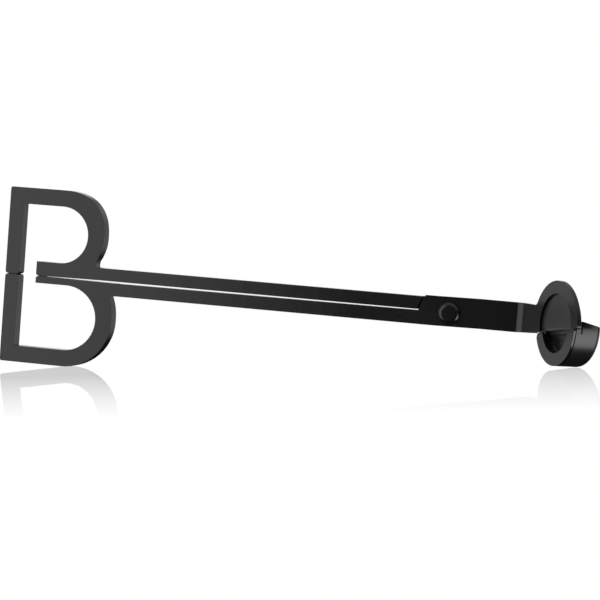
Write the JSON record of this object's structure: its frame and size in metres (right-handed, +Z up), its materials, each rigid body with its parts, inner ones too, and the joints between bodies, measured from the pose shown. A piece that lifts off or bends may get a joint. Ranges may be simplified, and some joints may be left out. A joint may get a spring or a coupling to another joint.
{
  "type": "wick trimmer",
  "caption": "Scissor-action candle wick trimmer with closed finger loops, a riveted pivot and an angled round head over a debris-catching cup, all in satin black",
  "frame": {"origin": "centre of the bottom of the bounding box, on the ground under the tool as it stands on edge", "axes": "+X runs along the tool from the finger loops to the cutting head, +Z is up, and the head is bent towards -Y"},
  "size_m": [0.187, 0.0316, 0.0554],
  "materials": {
    "black_coat": "satin, fine smooth black coat over steel",
    "rubbed_coat": "black coat rubbed to a semi-gloss on the turned heads",
    "blade_steel": "blackened blade steel with a ground bevel, a little brighter than the coat"
  },
  "bodies": {
    "lower_half": {"front_arm": "black_coat", "lower_finger_loop": "black_coat", "stop_peg": "rubbed_coat", "pivot_rivet": "rubbed_coat", "pivot_washer": "black_coat", "rivet_burr": "rubbed_coat", "upper_blade": "blade_steel"},
    "upper_half": {"rear_arm": "black_coat", "upper_finger_loop": "black_coat", "lower_blade": "blade_steel", "catch_cup": "black_coat"}
  },
  "joints": [
    {"name": "pivot", "type": "hinge", "parent": "lower_half", "child": "upper_half", "pos_m": [0.04763, 0.01189, 0.01498], "axis": [0, 1, 0], "range_deg": [0, 26]}
  ]
}
